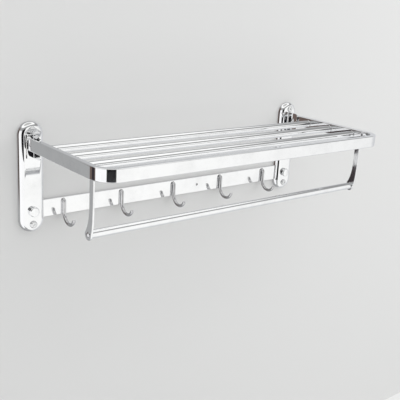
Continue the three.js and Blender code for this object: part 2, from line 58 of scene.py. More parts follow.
GAP = 0.3 * MM  # between two pieces that touch
BAND_EDGE = 1.6 * MM  # rounding of the band's long edges
BAND_BEND = 34.0 * MM  # outer face of the band's corners
PLATE_EDGE = 9.0 * MM  # rounding of a plate's front edge
PLATE_SHEET = 1.5 * MM
BRACKET_SHEET = 2.0 * MM
BRACKET_BEND = 2.6 * MM  # outer radius of the bend between web and ear
EAR_CORNER = 7.0 * MM
RAIL_CORNER = 0.8 * MM
RAIL_EDGE = 0.45 * MM
HOOK_WIRE = 6.0 * MM
HOOK_BEND = 17.6 * MM  # centre line of the bend
HOOK_COUNT = 5
HOOK_SWEEP = math.radians(167)
HOOK_BELOW_RAIL_TOP = 4.8 * MM
HOOK_BEND_DROP = 11.0 * MM  # rail's centre line to the start of the bend
RAIL_SCREW_HOLE = 4.5 * MM
STUD = 5.0 * MM
STUD_HEAD = 1.2 * MM
SCREW = 4.2 * MM
SCREW_HEADS = {"upper": (1.9 * MM, 1.5 * MM), "lower": (3.2 * MM, 2.6 * MM)}  # height, rounding
SCREW_HEAD_CROWN = 0.3 * MM
SCREW_RECESS = (6.2 * MM, 1.5 * MM, 1.2 * MM)  # length, width, depth
NUT_EDGE = 2.4 * MM
NUT_CROWN = 0.5 * MM
NUT_WALL = 2.0 * MM  # end of its bore to its face
BAR_SCREW = 4.0 * MM
BAR_SCREW_HEAD = 2.2 * MM
BAR_SCREW_RECESS = (5.2 * MM, 1.3 * MM, 1.3 * MM)
PIN = 5.0 * MM
PIN_HEAD = 1.6 * MM
SPACER_EDGE = 0.4 * MM
TUBE_COUNT = 3
HANGER_WIDTH = 10.3 * MM
HANGER_CORNER = 2.5 * MM
HANGER_EDGE = 0.6 * MM
WELD_BEAD = 1.0 * MM


def node_box(node):
    """Lowest corner, highest corner, centre and size of a node at rest."""
    low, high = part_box(node)
    return low, high, (low + high) / 2, high - low


# ---- Mesh making ------------------------------------------------------------------------------


def make_piece(name, verts, faces):
    mesh = bpy.data.meshes.new(name)
    mesh.from_pydata([tuple(v) for v in verts], [], faces)
    piece = bpy.data.objects.new(name, mesh)
    bpy.context.scene.collection.objects.link(piece)
    tidy_normals(piece)
    return piece


def tidy_normals(piece, smooth_angle=32):
    """Faces outwards, smooth across curves and sharp across real edges."""
    mesh = piece.data
    work = bmesh.new()
    work.from_mesh(mesh)
    bmesh.ops.remove_doubles(work, verts=work.verts, dist=1e-7)
    bmesh.ops.recalc_face_normals(work, faces=work.faces)
    work.to_mesh(mesh)
    work.free()
    mesh.polygons.foreach_set("use_smooth", [True] * len(mesh.polygons))
    mesh.set_sharp_from_angle(angle=math.radians(smooth_angle))
    mesh.update()


def loft(rings, closed=False):
    """Faces between rings of equal length; the two ends are capped unless the loft is closed."""
    count = len(rings[0])
    verts = [p for ring in rings for p in ring]
    faces = []
    last = len(rings) if closed else len(rings) - 1
    for i in range(last):
        a, b = i * count, ((i + 1) % len(rings)) * count
        for j in range(count):
            k = (j + 1) % count
            faces.append((a + j, a + k, b + k, b + j))
    if not closed:
        faces.append(tuple(range(count)))
        faces.append(tuple((len(rings) - 1) * count + j for j in reversed(range(count))))
    return verts, faces


def eased(profile, radius, steps=4):
    """The same open profile with each inner corner rounded to at most the radius."""
    points = [Vector(p) for p in profile]
    out = [points[0]]
    for before, corner, after in zip(points, points[1:], points[2:]):
        to_before, to_after = before - corner, after - corner
        reach = min(radius, to_before.length * 0.45, to_after.length * 0.45)
        if reach < 1e-7:
            out.append(corner)
            continue
        start = corner + to_before.normalized() * reach
        end = corner + to_after.normalized() * reach
        for i in range(steps + 1):
            t = i / steps
            out.append(start * (1 - t) ** 2 + corner * 2 * t * (1 - t) + end * t * t)
    out.append(points[-1])
    return out


def dome(radius, height, base, steps=10):
    """Profile of a shallow dome, from its edge at base to its top on the axis."""
    sphere = (radius * radius + height * height) / (2 * height)
    opening = math.asin(min(1.0, radius / sphere))
    points = []
    for i in range(steps + 1):
        angle = opening * (1 - i / steps)
        points.append((sphere * math.sin(angle), base + height - sphere * (1 - math.cos(angle))))
    return points


def rounded_cap(radius, height, edge, crown, base, steps=8):
    """Profile of a nearly flat cap with a straight side and a rounded front edge."""
    points = [(radius, base)]
    for i in range(steps + 1):
        angle = math.pi / 2 * i / steps
        side = radius - edge * (1 - math.cos(angle))
        points.append((side, base + height - crown - edge * (1 - math.sin(angle))))
    for i in range(1, steps):
        share = 1 - i / steps
        points.append(((radius - edge) * share, base + height - crown * share * share))
    points.append((0.0, base + height))
    return points


def turned(name, profile, centre, axis, segments=48, closed=False):
    """A turned piece: profile of (radius, distance along the axis) about a line through centre."""
    axis = Vector(axis).normalized()
    side = axis.orthogonal().normalized()
    other = axis.cross(side)
    rings = []
    for radius, along in profile:
        radius = max(radius, 0.0)
        ring = []
        for i in range(segments):
            angle = 2 * math.pi * i / segments
            spoke = side * math.cos(angle) + other * math.sin(angle)
            ring.append(axis * along + spoke * radius)
        rings.append(ring)
    verts, faces = loft(rings, closed)
    piece = make_piece(name, verts, faces)
    piece.location = centre
    return piece


def pipe_profile(bore, outer, start, end, edge):
    ring = [(bore, start), (outer, start), (outer, end), (bore, end)]
    corners = [ring[-1], *ring, ring[0]]
    return [tuple(p) for p in eased(corners, edge)[1:-1]]


def rod_sweep(name, path, radius, sides=20, radii=None, domed=(True, True)):
    """A round rod along a path, with domed ends; radii gives a radius for each point instead."""
    points = [Vector(p) for p in path]
    radii = list(radii or [radius] * len(points))
    tangents = []
    for i in range(len(points)):
        ahead = points[min(i + 1, len(points) - 1)] - points[max(i - 1, 0)]
        tangents.append(ahead.normalized())
    spoke = tangents[0].orthogonal().normalized()
    rings = []
    stations = []
    if domed[0]:
        for i in range(5):
            lean = math.pi / 2 * i / 5
            back = points[0] - tangents[0] * radii[0] * math.cos(lean)
            stations.append((back, tangents[0], radii[0] * math.sin(lean)))
    for point, tangent, r in zip(points, tangents, radii):
        stations.append((point, tangent, r))
    if domed[1]:
        for i in range(1, 6):
            lean = math.pi / 2 * i / 5
            ahead = points[-1] + tangents[-1] * radii[-1] * math.sin(lean)
            stations.append((ahead, tangents[-1], radii[-1] * math.cos(lean)))
    for point, tangent, r in stations:
        spoke = (spoke - tangent * spoke.dot(tangent)).normalized()
        other = tangent.cross(spoke)
        ring = []
        for j in range(sides):
            angle = 2 * math.pi * j / sides
            ring.append(point + (spoke * math.cos(angle) + other * math.sin(angle)) * max(r, 1e-6))
        rings.append(ring)
    return make_piece(name, *loft(rings))


def sheet_piece(name, outline, start, end, across, edge):
    """A flat plate cut to an outline of (u, v) points, with its edges rounded.

    across is "x" for an outline in Y and Z, or "y" for one in X and Z."""
    place = {
        "x": lambda u, v, w: (w, u, v),
        "y": lambda u, v, w: (u, w, v),
    }[across]
    work = bmesh.new()
    low = [work.verts.new(place(u, v, start)) for u, v in outline]
    high = [work.verts.new(place(u, v, end)) for u, v in outline]
    faces = [work.faces.new(low), work.faces.new(list(reversed(high)))]
    for i in range(len(outline)):
        j = (i + 1) % len(outline)
        work.faces.new((low[j], low[i], high[i], high[j]))
    bmesh.ops.recalc_face_normals(work, faces=work.faces)
    rims = {e for face in faces for e in face.edges}
    bmesh.ops.bevel(
        work, geom=list(rims), offset=edge, offset_type="OFFSET", segments=3,
        profile=0.5, affect="EDGES", clamp_overlap=True,
    )
    mesh = bpy.data.meshes.new(name)
    work.to_mesh(mesh)
    work.free()
    piece = bpy.data.objects.new(name, mesh)
    bpy.context.scene.collection.objects.link(piece)
    tidy_normals(piece)
    return piece


def applied(piece):
    """Turns the piece's modifiers into plain mesh."""
    graph = bpy.context.evaluated_depsgraph_get()
    result = bpy.data.meshes.new_from_object(piece.evaluated_get(graph))
    piece.modifiers.clear()
    piece.data = result
    return piece


def carve(piece, *cutters):
    """Cuts the cutters out of the piece and removes them."""
    for cutter in cutters:
        cut = piece.modifiers.new("cut", "BOOLEAN")
        cut.operation = "DIFFERENCE"
        cut.solver = "EXACT"
        cut.object = cutter
    applied(piece)
    for cutter in cutters:
        bpy.data.objects.remove(cutter)
    tidy_normals(piece)
    return piece


def soften(piece, width, segments=2, angle=40):
    """Small rounding on every real edge of the piece."""
    bevel = piece.modifiers.new("edge", "BEVEL")
    bevel.width = width
    bevel.segments = segments
    bevel.limit_method = "ANGLE"
    bevel.angle_limit = math.radians(angle)
    bevel.use_clamp_overlap = True
    applied(piece)
    tidy_normals(piece, 50)
    return piece


def block(name, low, high):
    x0, y0, z0 = low
    x1, y1, z1 = high
    base = [(x0, y0, z0), (x1, y0, z0), (x1, y1, z0), (x0, y1, z0)]
    top = [(x, y, z1) for x, y, _ in base]
    return make_piece(name, *loft([base, top]))


def even_shading(piece):
    """Large faces keep their own direction, so that a flat face mirrors like a flat one."""
    even = piece.modifiers.new("even_shading", "WEIGHTED_NORMAL")
    even.mode = "FACE_AREA"
    even.weight = 100
    even.keep_sharp = True
    applied(piece)


def finish_piece(piece, body, material, *nodes):
    """Gives a piece its material and slot, hides the frame parts it stands for and lets it ride."""
    even_shading(piece)
    piece.data.materials.clear()
    piece.data.materials.append(material)
    if nodes:
        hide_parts(*nodes)
    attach(piece, body)
    return piece


# ---- Materials --------------------------------------------------------------------------------


def new_group(name, inputs, outputs):
    """An empty shader group with float inputs of (name, value) and float outputs."""
    group = bpy.data.node_groups.new(name, "ShaderNodeTree")
    for label, value in inputs:
        socket = group.interface.new_socket(label, in_out="INPUT", socket_type="NodeSocketFloat")
        socket.default_value = value
    for label in outputs:
        group.interface.new_socket(label, in_out="OUTPUT", socket_type="NodeSocketFloat")
    return group, group.nodes.new("NodeGroupInput"), group.nodes.new("NodeGroupOutput")


def object_coordinates(group):
    return group.nodes.new("ShaderNodeTexCoord").outputs["Object"]


def math_node(group, operation, a, b=None):
    node = group.nodes.new("ShaderNodeMath")
    node.operation = operation
    for socket, value in zip(node.inputs, (a, b)):
        if value is None:
            continue
        if isinstance(value, (int, float)):
            socket.default_value = value
        else:
            group.links.new(value, socket)
    return node.outputs[0]


def noise_node(group, coordinates, scale, detail=3.0, roughness=0.5):
    node = group.nodes.new("ShaderNodeTexNoise")
    node.inputs["Detail"].default_value = detail
    node.inputs["Roughness"].default_value = roughness
    if isinstance(scale, (int, float)):
        node.inputs["Scale"].default_value = scale
    else:
        group.links.new(scale, node.inputs["Scale"])
    group.links.new(coordinates, node.inputs["Vector"])
    return node.outputs["Fac"]


def ramp(group, value, start, end):
    """A mask that goes from 0 where the value is start to 1 where it is end."""
    node = group.nodes.new("ShaderNodeMapRange")
    node.inputs["From Min"].default_value = start
    node.inputs["From Max"].default_value = end
    group.links.new(value, node.inputs["Value"])
    return node.outputs["Result"]


def make_wiping_marks():
    """Cloudy wiped film and small dried drops: a mask from 0, clean, to 1."""
    inputs = [("Size", 30.0), ("Drops", 0.4)]
    group, given, out = new_group("WipingMarks", inputs, ["Film", "Spots"])
    where = object_coordinates(group)
    cloud = noise_node(group, where, given.outputs["Size"], 4.0, 0.62)
    group.links.new(ramp(group, cloud, 0.42, 0.74), out.inputs["Film"])
    cells = group.nodes.new("ShaderNodeTexVoronoi")
    group.links.new(where, cells.inputs["Vector"])
    cells.inputs["Scale"].default_value = 120.0
    near = ramp(group, cells.outputs["Distance"], 0.16, 0.05)
    rare = ramp(group, noise_node(group, where, 22.0, 2.0), 0.60, 0.68)
    both = math_node(group, "MULTIPLY", near, rare)
    amount = math_node(group, "MULTIPLY", both, given.outputs["Drops"])
    group.links.new(amount, out.inputs["Spots"])
    return group


def make_polish_lines():
    """Fine lines left by the polishing wheel, running along one axis of the piece."""
    inputs = [("Along X", 1.0), ("Along Y", 1.0), ("Along Z", 1.0), ("Fineness", 900.0)]
    group, given, out = new_group("PolishLines", inputs, ["Height"])
    where = object_coordinates(group)
    stretch = group.nodes.new("ShaderNodeCombineXYZ")
    for axis in "XYZ":
        group.links.new(given.outputs["Along " + axis], stretch.inputs[axis])
    scaled = group.nodes.new("ShaderNodeVectorMath")
    scaled.operation = "MULTIPLY"
    group.links.new(where, scaled.inputs[0])
    group.links.new(stretch.outputs["Vector"], scaled.inputs[1])
    lines = noise_node(group, scaled.outputs["Vector"], given.outputs["Fineness"], 2.0, 0.55)
    group.links.new(lines, out.inputs["Height"])
    return group


def make_waviness():
    """Slow unevenness that rolled and pressed sheet keeps under its polish."""
    group, given, out = new_group("SheetWaviness", [("Size", 9.0)], ["Height"])
    where = object_coordinates(group)
    group.links.new(noise_node(group, where, given.outputs["Size"], 1.0, 0.4), out.inputs["Height"])
    return group


def make_edge_wear():
    """Bright worn edges, broken up along their length."""
    group, given, out = new_group("EdgeWear", [("Strength", 1.0)], ["Mask"])
    shape = group.nodes.new("ShaderNodeNewGeometry").outputs["Pointiness"]
    raised = ramp(group, shape, 0.52, 0.60)
    broken = noise_node(group, object_coordinates(group), 140.0, 3.0)
    worn = math_node(group, "MULTIPLY", raised, broken)
    worn = math_node(group, "MULTIPLY", worn, given.outputs["Strength"])
    group.links.new(worn, out.inputs["Mask"])
    return group


def make_turning_rings():
    """Fine rings round the piece's own Y axis, as a lathe leaves them on a screw or a nut."""
    group, given, out = new_group("TurningRings", [("Fineness", 1500.0)], ["Height"])
    split = group.nodes.new("ShaderNodeSeparateXYZ")
    group.links.new(object_coordinates(group), split.inputs["Vector"])
    xx = math_node(group, "MULTIPLY", split.outputs["X"], split.outputs["X"])
    zz = math_node(group, "MULTIPLY", split.outputs["Z"], split.outputs["Z"])
    radius = math_node(group, "SQRT", math_node(group, "ADD", xx, zz))
    turns = math_node(group, "MULTIPLY", radius, given.outputs["Fineness"])
    row = group.nodes.new("ShaderNodeCombineXYZ")
    group.links.new(turns, row.inputs["X"])
    group.links.new(noise_node(group, row.outputs["Vector"], 1.0, 3.0), out.inputs["Height"])
    return group


EFFECTS = {
    "wiping": make_wiping_marks(),
    "polish": make_polish_lines(),
    "waviness": make_waviness(),
    "wear": make_edge_wear(),
    "turning": make_turning_rings(),
}


def new_material(name, slot):
    material = bpy.data.materials.new(name)
    material.use_nodes = True
    material["slot"] = slot
    tree = material.node_tree
    return material, tree, tree.nodes["Principled BSDF"]


def effect(tree, name, **values):
    node = tree.nodes.new("ShaderNodeGroup")
    node.node_tree = EFFECTS[name]
    for label, value in values.items():
        node.inputs[label.replace("_", " ")].default_value = value
    return node


def bump(tree, height, strength, distance, before=None):
    node = tree.nodes.new("ShaderNodeBump")
    node.inputs["Strength"].default_value = strength
    node.inputs["Distance"].default_value = distance
    tree.links.new(height, node.inputs["Height"])
    if before is not None:
        tree.links.new(before, node.inputs["Normal"])
    return node.outputs["Normal"]


def blend_value(tree, mask, low, high):
    node = tree.nodes.new("ShaderNodeMapRange")
    node.inputs["To Min"].default_value = low
    node.inputs["To Max"].default_value = high
    tree.links.new(mask, node.inputs["Value"])
    return node.outputs["Result"]


def blend_colour(tree, mask, low, high):
    node = tree.nodes.new("ShaderNodeMix")
    node.data_type = "RGBA"
    node.inputs["A"].default_value = (*low, 1.0)
    node.inputs["B"].default_value = (*high, 1.0)
    tree.links.new(mask, node.inputs["Factor"])
    return node.outputs["Result"]


CLEAN_STEEL = (0.86, 0.865, 0.87)
DRAWN_STEEL = (0.62, 0.62, 0.625)


def mirror_steel(name, stretch, wave=9.0, wave_depth=0.02 * MM, clean=CLEAN_STEEL):
    """Mirror-polished stainless steel; stretch is how the polishing runs along X, Y and Z."""
    material, tree, shader = new_material(name, "mirror_steel")
    marks = effect(tree, "wiping", Size=26.0, Drops=0.5)
    film = marks.outputs["Film"]
    wear = effect(tree, "wear", Strength=0.8).outputs["Mask"]
    wiped = tuple(c * 0.93 for c in clean)
    tree.links.new(blend_colour(tree, film, clean, wiped), shader.inputs["Base Color"])
    dull = math_node(tree, "ADD", film, marks.outputs["Spots"])
    dull = math_node(tree, "ADD", dull, wear)
    tree.links.new(blend_value(tree, dull, 0.035, 0.115), shader.inputs["Roughness"])
    shader.inputs["Metallic"].default_value = 1.0
    x, y, z = stretch
    lines = effect(tree, "polish", Along_X=x, Along_Y=y, Along_Z=z).outputs["Height"]
    waves = effect(tree, "waviness", Size=wave).outputs["Height"]
    normal = bump(tree, waves, 1.0, wave_depth)
    normal = bump(tree, lines, 0.12, 0.004 * MM, normal)
    tree.links.new(normal, shader.inputs["Normal"])
    return material


def turned_steel(name, slot, base, low, high):
    """Steel that has been turned and lightly polished."""
    material, tree, shader = new_material(name, slot)
    film = effect(tree, "wiping", Size=90.0, Drops=0.2).outputs["Film"]
    wear = effect(tree, "wear", Strength=1.0).outputs["Mask"]
    darker = tuple(c * 0.9 for c in base)
    tree.links.new(blend_colour(tree, film, base, darker), shader.inputs["Base Color"])
    dull = math_node(tree, "ADD", film, wear)
    tree.links.new(blend_value(tree, dull, low, high), shader.inputs["Roughness"])
    shader.inputs["Metallic"].default_value = 1.0
    rings = effect(tree, "turning").outputs["Height"]
    tree.links.new(bump(tree, rings, 0.25, 0.01 * MM), shader.inputs["Normal"])
    return material


def weld_steel():
    """Ground weld metal: duller than the sheet, with a trace of heat colour."""
    material, tree, shader = new_material("ground_weld", "satin_steel")
    where = tree.nodes.new("ShaderNodeTexCoord").outputs["Object"]
    cloud = noise_node(tree, where, 300.0, 4.0)
    colour = blend_colour(tree, cloud, (0.72, 0.72, 0.71), (0.60, 0.585, 0.56))
    tree.links.new(colour, shader.inputs["Base Color"])
    tree.links.new(blend_value(tree, cloud, 0.16, 0.34), shader.inputs["Roughness"])
    shader.inputs["Metallic"].default_value = 1.0
    tree.links.new(bump(tree, cloud, 0.5, 0.08 * MM), shader.inputs["Normal"])
    return material


def natural_nylon():
    """Off-white moulded nylon with a fine matt grain."""
    material, tree, shader = new_material("natural_nylon", "nylon")
    where = tree.nodes.new("ShaderNodeTexCoord").outputs["Object"]
    cloud = noise_node(tree, where, 220.0, 4.0)
    colour = blend_colour(tree, cloud, (0.80, 0.79, 0.73), (0.70, 0.69, 0.63))
    tree.links.new(colour, shader.inputs["Base Color"])
    tree.links.new(blend_value(tree, cloud, 0.42, 0.62), shader.inputs["Roughness"])
    grain = noise_node(tree, where, 1800.0)
    tree.links.new(bump(tree, grain, 0.4, 0.02 * MM), shader.inputs["Normal"])
    return material


STEEL = {
    "across": mirror_steel("polished_steel_across", (0.03, 1.0, 1.0), wave_depth=0.008 * MM),
    "upright": mirror_steel("polished_steel_upright", (1.0, 1.0, 0.03)),
    "wire": mirror_steel(
        "polished_steel_wire", (1.0, 0.2, 0.2), wave=40.0, wave_depth=0.008 * MM, clean=DRAWN_STEEL
    ),
}
CHROME = turned_steel("plated_dome", "chrome", (0.88, 0.885, 0.89), 0.04, 0.12)
SATIN = turned_steel("turned_steel", "satin_steel", (0.74, 0.745, 0.75), 0.14, 0.30)
WELD = weld_steel()
NYLON = natural_nylon()

# ---- Wall side --------------------------------------------------------------------------------

OUT = Vector((0, -1, 0))  # away from the wall


def stadium(centre_x, half, bottom, top, inset, steps=28):
    """Closed outline with round ends, moved inwards by inset."""
    r = half - inset
    points = []
    for middle, start in ((bottom + half, math.pi), (top - half, 0.0)):
        for i in range(steps + 1):
            angle = start + math.pi * i / steps
            points.append((centre_x + r * math.cos(angle), middle + r * math.sin(angle)))
    return points


def wall_plate(name, side):
    node = f"{name}_wall_plate"
    low, high, centre, size = node_box(node)
    half, depth = size.x / 2, size.y
    outside, inside = [], []
    steps = 10
    for profile, edge, face, inset in (
        (outside, PLATE_EDGE, depth, 0.0),
        (inside, PLATE_EDGE - PLATE_SHEET, depth - PLATE_SHEET, PLATE_SHEET),
    ):
        profile.append((inset, 0.0))
        profile.append((inset, face - edge - 0.3 * MM))
        for i in range(steps + 1):
            angle = math.pi / 2 * i / steps
            inwards = inset + edge * (1 - math.cos(angle))
            profile.append((inwards, face - edge * (1 - math.sin(angle))))
        profile.append((inset + edge + 0.8 * MM, face))
    profile = list(reversed(inside)) + outside
    rings = []
    for inset, out in profile:
        outline = stadium(centre.x, half, low.z, high.z, inset)
        rings.append([Vector((x, -out, z)) for x, z in outline])
    plate = make_piece(node, *loft(rings))
    rail_low, rail_high, _, _ = node_box("hook_rail")
    inner = centre.x - side * half
    notch = block(
        "notch",
        (min(inner - side * 2 * MM, inner + side * 3 * MM), rail_low.y - GAP, rail_low.z - GAP),
        (max(inner - side * 2 * MM, inner + side * 3 * MM), 1 * MM, rail_high.z + GAP),
    )
    holes = []
    for fixing, shank in (("rail_stud", STUD), ("upper_screw", SCREW), ("lower_screw", SCREW)):
        middle = node_box(f"{name}_{fixing}")[2]
        bore = shank / 2 + GAP
        profile = [(0.0, -depth - MM), (bore, -depth - MM), (bore, MM), (0.0, MM)]
        holes.append(turned("hole", profile, (middle.x, 0, middle.z), (0, 1, 0), 24))
    carve(plate, notch, *holes)
    return finish_piece(plate, WALL_SIDE, STEEL["upright"], node)


def angle_ring(outer_x, ear_x, side, ear_end, back, z):
    """Section of the bracket: a web behind the arm, bent round into the ear inside it."""
    front = back + BRACKET_SHEET
    inner_x = ear_x + side * BRACKET_SHEET
    bend = BRACKET_BEND
    small = bend - BRACKET_SHEET
    ring = [Vector((outer_x, -back, z))]

    def corner(x, out, radius, start, end, steps=5):
        for i in range(steps + 1):
            angle = math.radians(start + (end - start) * i / steps)
            across = x - side * radius * math.cos(angle)
            ring.append(Vector((across, -(out - radius * math.sin(angle)), z)))

    corner(ear_x + side * bend, back + bend, bend, 90, 0)
    ring.append(Vector((ear_x, -ear_end, z)))
    ring.append(Vector((inner_x, -ear_end, z)))
    corner(inner_x + side * small, front + small, small, 0, 90)
    ring.append(Vector((outer_x, -front, z)))
    return ring


def hinge_bracket(name, side):
    node = f"{name}_hinge_bracket"
    low, high, _, _ = node_box(node)
    back, ear_end = -high.y, -low.y
    outer_x, ear_x = (high.x, low.x) if side > 0 else (low.x, high.x)
    heights = [low.z + EAR_CORNER * (1 - math.cos(math.pi / 2 * i / 10)) for i in range(11)]
    heights += [high.z - (z - low.z) for z in reversed(heights)]
    rings = []
    for z in heights:
        near = min(z - low.z, high.z - z, EAR_CORNER)
        lost = EAR_CORNER - math.sqrt(max(EAR_CORNER**2 - (EAR_CORNER - near) ** 2, 0.0))
        rings.append(angle_ring(outer_x, ear_x, side, ear_end - lost, back, z))
    bracket = make_piece(node, *loft(rings))
    pin = node_box(f"{name}_hinge_pin")[2]
    carve(bracket, pin_hole(ear_x + side * BRACKET_SHEET / 2, pin, 2 * BRACKET_SHEET))
    soften(bracket, 0.35 * MM)
    return finish_piece(bracket, WALL_SIDE, STEEL["upright"], node)


def pin_hole(x, pin, width):
    """Cutter for the hole that a hinge pin turns in."""
    radius = PIN / 2 + GAP
    profile = [(0.0, -width / 2), (radius, -width / 2), (radius, width / 2), (0.0, width / 2)]
    return turned("hole", profile, (x, pin.y, pin.z), (1, 0, 0), 32)


def bracket_welds(name):
    """A fillet of weld down each side of the bracket, where it meets the plate."""
    low, _, centre, size = node_box(f"{name}_hinge_bracket")
    face = node_box(f"{name}_wall_plate")[0].y
    for label, sign in (("a", -1), ("b", 1)):
        x = centre.x + sign * (size.x / 2 - 0.2 * MM)
        path, radii = [], []
        count = 40
        for i in range(count + 1):
            t = i / count
            z = low.z + 5 * MM + (size.z - 10 * MM) * t
            path.append((x, face - 0.2 * MM, z))
            ripple = 0.08 * math.sin(i * 2.4)
            radii.append((1.0 + ripple) * WELD_BEAD * min(1.0, 6 * t + 0.3, 6 * (1 - t) + 0.3))
        bead = rod_sweep(f"{name}_bracket_weld_{label}", path, WELD_BEAD, 12, radii)
        finish_piece(bead, WALL_SIDE, WELD)


def hinge_pin(name, side):
    """Pin with a domed head inside the ear and a chamfered end in the arm's outer face."""
    node = f"{name}_hinge_pin"
    low, high, centre, size = node_box(node)
    radius, face = size.z / 2, size.x - PIN_HEAD
    shank = PIN / 2
    profile = [(0.0, 0.0), (shank - 0.4 * MM, 0.0), (shank, 0.4 * MM), (shank, face)]
    profile += [(radius, face), (radius, face + 0.35 * MM)]
    profile += dome(radius - 0.15 * MM, PIN_HEAD - 0.45 * MM, face + 0.45 * MM)
    end = high.x if side > 0 else low.x
    pin = turned(node, profile, (end, centre.y, centre.z), (-side, 0, 0))
    return finish_piece(pin, WALL_SIDE, SATIN, node)


def washer(node):
    _, _, centre, size = node_box(node)
    profile = pipe_profile(PIN / 2 + GAP, size.z / 2, -size.x / 2, size.x / 2, 0.2 * MM)
    ring = turned(node, profile, centre, (1, 0, 0), 40, closed=True)
    return finish_piece(ring, WALL_SIDE, NYLON, node)


def hook_rail():
    low, high, centre, size = node_box("hook_rail")
    corner = RAIL_CORNER
    outline = []
    for sx, sz, start in ((1, 1, 0), (-1, 1, 90), (-1, -1, 180), (1, -1, 270)):
        for i in range(5):
            angle = math.radians(start + 90 * i / 4)
            x = centre.x + sx * (size.x / 2 - corner) + corner * math.cos(angle)
            outline.append((x, centre.z + sz * (size.z / 2 - corner) + corner * math.sin(angle)))
    rail = sheet_piece("hook_rail", outline, high.y, low.y, "y", RAIL_EDGE)
    hooks = [node_box(f"hook_{i}")[2].x for i in range(1, HOOK_COUNT + 1)]
    holes = [(x, high.z - HOOK_BELOW_RAIL_TOP, HOOK_WIRE / 2 + 0.15 * MM) for x in hooks]
    holes.append(((hooks[2] + hooks[3]) / 2, 0.0, RAIL_SCREW_HOLE / 2))
    cutters = []
    for x, z, radius in holes:
        cutters.append(countersink("hole", x, z, radius, low.y, high.y))
    carve(rail, *cutters)
    return finish_piece(rail, WALL_SIDE, STEEL["across"], "hook_rail")


def countersink(name, x, z, radius, front, back):
    """Cutter for a round hole through the rail, with both its rims eased."""
    ease = 0.3 * MM
    thick = back - front
    profile = [
        (0.0, -1 * MM),
        (radius + ease + 1 * MM, -1 * MM),
        (radius + ease, 0.0),
        (radius, ease),
        (radius, thick - ease),
        (radius + ease, thick),
        (radius + ease + 1 * MM, thick + 1 * MM),
        (0.0, thick + 1 * MM),
    ]
    return turned(name, profile, (x, front, z), (0, 1, 0), 40)


def hook_path(x, rail_back, rail_face, rail_top):
    """Centre line of a hook, from its tail in the rail to its free tip."""
    shoulder = GAP + HOOK_WIRE / 2
    out = -rail_face + shoulder
    top = rail_top - HOOK_BELOW_RAIL_TOP
    points = [(x, rail_back, top), (x, (rail_back + rail_face) / 2, top)]
    for i in range(9):
        angle = math.pi / 2 * i / 8
        y = -(out - shoulder * (1 - math.sin(angle)))
        points.append((x, y, top - shoulder * (1 - math.cos(angle))))
    straight = top - shoulder + HOOK_BEND_DROP
    for i in range(1, 6):
        points.append((x, -out, top - shoulder - straight * i / 5))
    for i in range(1, 41):
        angle = HOOK_SWEEP * i / 40
        y = -(out + HOOK_BEND * (1 - math.cos(angle)))
        points.append((x, y, -HOOK_BEND_DROP - HOOK_BEND * math.sin(angle)))
    return points


def wire_hook(index):
    node = f"hook_{index}"
    _, _, centre, _ = node_box(node)
    rail_low, rail_high, _, _ = node_box("hook_rail")
    path = hook_path(centre.x, rail_high.y, rail_low.y, rail_high.z)
    radius = HOOK_WIRE / 2
    end = path[-1]
    before = path[-2]
    back = (Vector(before) - Vector(end)).normalized() * radius * 0.9
    path[-1] = tuple(Vector(end) + back)
    piece = rod_sweep(node, path, radius, 24, domed=(False, True))
    finish_piece(piece, WALL_SIDE, STEEL["wire"], node)
    profile = [(0.0, -0.1 * MM), (radius + 0.9 * MM, -0.1 * MM)]
    profile += dome(radius + 0.8 * MM, 0.7 * MM, 0.0, 6)
    place = (centre.x, rail_high.y, rail_high.z - HOOK_BELOW_RAIL_TOP)
    tail = turned(f"hook_tail_weld_{index}", profile, place, (0, 1, 0), 28)
    finish_piece(tail, WALL_SIDE, WELD)


def rail_fixing(name):
    """Stud, spacer and domed nut at one end of the rail."""
    node = f"{name}_rail_stud"
    _, high, centre, size = node_box(node)
    head = STUD_HEAD
    shank = STUD / 2
    length = size.y
    profile = [(0.0, 0.0), (size.x / 2, 0.0), (size.x / 2, head), (shank, head)]
    profile += thread_profile(shank, head + 3 * MM, length - 0.6 * MM, 0.8 * MM)
    profile += [(shank - 0.5 * MM, length), (0.0, length)]
    profile = eased(profile[:4], 0.25 * MM) + profile[4:]
    stud = turned(node, profile, (centre.x, high.y, centre.z), OUT, 32)
    finish_piece(stud, WALL_SIDE, SATIN, node)

    node = f"{name}_rail_bush"
    _, high, centre, size = node_box(node)
    profile = pipe_profile(STUD / 2 + GAP, size.x / 2, 0.0, size.y, SPACER_EDGE)
    bush = turned(node, profile, (centre.x, high.y, centre.z), OUT, 40, closed=True)
    finish_piece(bush, WALL_SIDE, SATIN, node)

    node = f"{name}_cap_nut"
    _, high, centre, size = node_box(node)
    radius, height = size.x / 2, size.y
    bore = STUD / 2 + GAP
    bore_end = height - NUT_WALL
    profile = [(0.0, bore_end), (bore, bore_end), (bore, 0.0), (radius - 0.5 * MM, 0.0)]
    profile += rounded_cap(radius, height - 0.5 * MM, NUT_EDGE, NUT_CROWN, 0.5 * MM)
    nut = turned(node, profile, (centre.x, high.y, centre.z), OUT, 64)
    finish_piece(nut, WALL_SIDE, CHROME, node)


def thread_profile(radius, start, end, pitch):
    """Sawtooth of thread crests between two places along a shank."""
    points = []
    turns = int((end - start) / pitch)
    for i in range(turns):
        base = start + i * pitch
        points += [(radius, base + 0.1 * pitch), (radius - 0.35 * pitch, base + 0.6 * pitch)]
    return points


def cross_recess(name, centre, axis, length, width, depth):
    """Cutter for a cross recess that narrows towards its floor."""
    axis = Vector(axis).normalized()
    side = axis.orthogonal().normalized()
    other = axis.cross(side)
    rings = []
    for along, scale in ((1.0 * MM, 1.15), (-depth, 0.62)):
        a, b = length / 2 * scale, width / 2 * scale
        shape = [(a, b), (b, b), (b, a), (-b, a), (-b, b), (-a, b)]
        shape += [(-u, -v) for u, v in shape]
        rings.append([Vector(centre) + axis * along + side * u + other * v for u, v in shape])
    return make_piece(name, *loft(rings))


